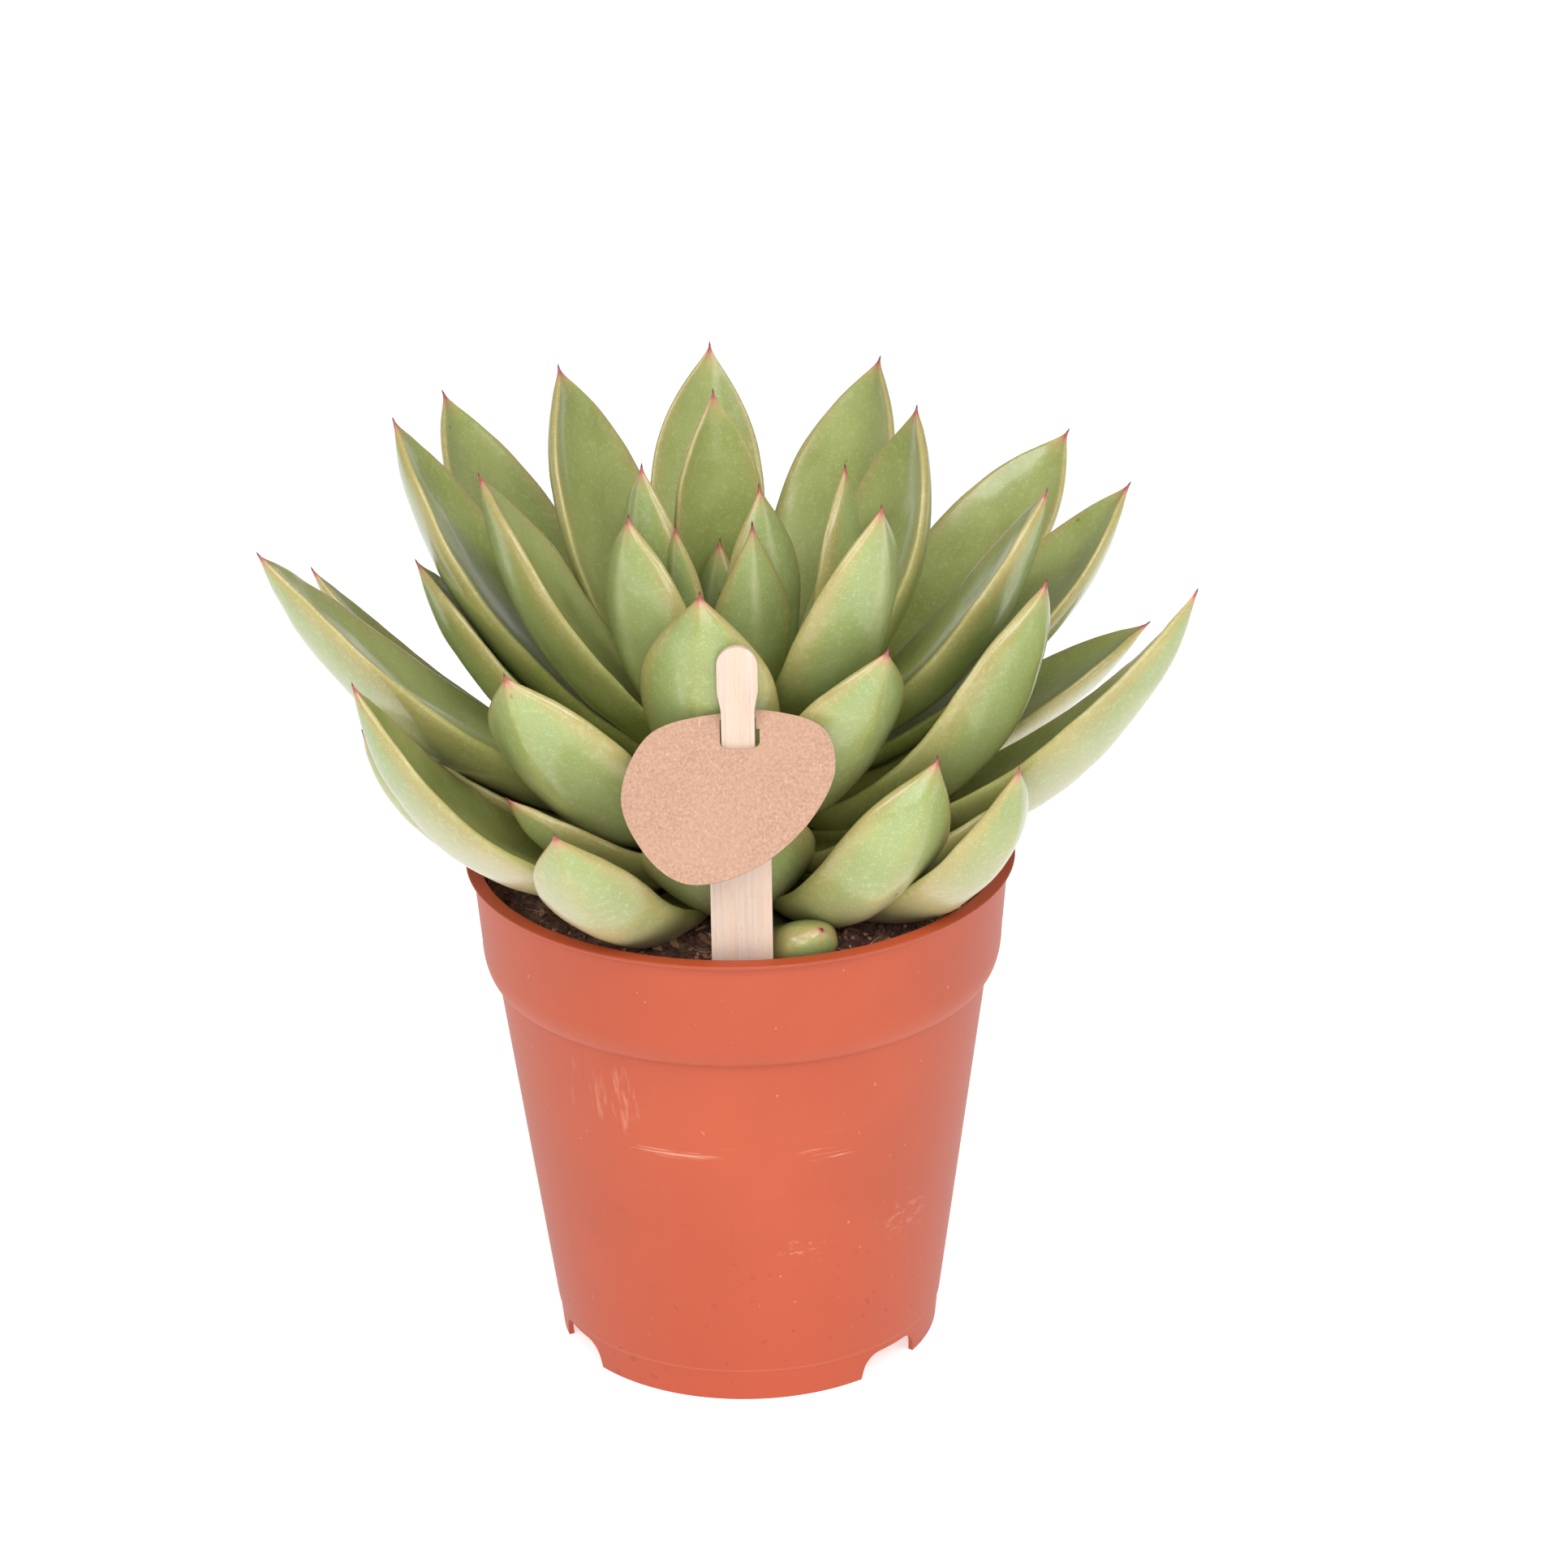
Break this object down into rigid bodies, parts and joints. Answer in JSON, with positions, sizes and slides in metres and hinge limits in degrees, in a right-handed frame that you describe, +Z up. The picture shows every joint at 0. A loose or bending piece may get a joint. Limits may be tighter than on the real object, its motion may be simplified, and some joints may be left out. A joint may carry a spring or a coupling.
{
  "type": "potted miranda echeveria",
  "caption": "Echeveria rosette of thick pointed green leaves on a short stem, planted in a round plastic nursery pot of peat, with a bare card tag on a wooden stick.",
  "frame": {"origin": "centre of the pot's foot, on the surface that it stands on", "axes": "+Z up along the pot's axis, -Y towards the front where the tag stands, +X to the right seen from the front"},
  "size_m": [0.198, 0.146, 0.219],
  "materials": {
    "terracotta_plastic": "satin moulded plastic in terracotta red, with pale scuffs and streaks",
    "peat": "rough, loose and fibrous, nearly black, with bark chips",
    "leaf": "waxy satin skin, mid green shading to cream below, with thin pale margins and pink tips",
    "young_leaf": "waxy satin skin, greener and darker between the leaves",
    "birch": "plain unvarnished birch with a fine upright grain",
    "kraft_card": "bare speckled kraft card with darker cut edges",
    "sprout": "soft bright yellow-green"
  },
  "bodies": {
    "root": {"pot": "terracotta_plastic", "soil": "peat", "stem_and_heart": "young_leaf", "leaf_01": "leaf", "leaf_02": "leaf", "leaf_03": "leaf", "leaf_04": "leaf", "leaf_05": "leaf", "leaf_06": "leaf", "leaf_07": "leaf", "leaf_08": "leaf", "leaf_09": "leaf", "leaf_10": "leaf", "leaf_11": "leaf", "leaf_12": "leaf", "leaf_13": "leaf", "leaf_14": "leaf", "leaf_15": "leaf", "leaf_16": "leaf", "leaf_17": "leaf", "leaf_18": "leaf", "leaf_19": "leaf", "leaf_20": "leaf", "leaf_21": "leaf", "leaf_22": "leaf", "leaf_23": "leaf", "leaf_24": "leaf", "leaf_25": "leaf", "leaf_26": "leaf", "leaf_27": "leaf", "leaf_28": "leaf", "leaf_29": "leaf", "leaf_30": "leaf", "leaf_31": "leaf", "leaf_32": "leaf", "leaf_33": "leaf", "leaf_34": "leaf", "leaf_35": "leaf", "leaf_36": "leaf", "leaf_37": "leaf", "leaf_38": "leaf", "leaf_39": "leaf", "leaf_40": "leaf", "leaf_41": "leaf", "leaf_42": "leaf", "leaf_43": "leaf", "leaf_44": "leaf", "leaf_45": "leaf", "leaf_46": "leaf", "leaf_47": "leaf", "leaf_48": "leaf", "label_stick": "birch", "label_card": "kraft_card", "seedling": "sprout"}
  },
  "joints": []
}
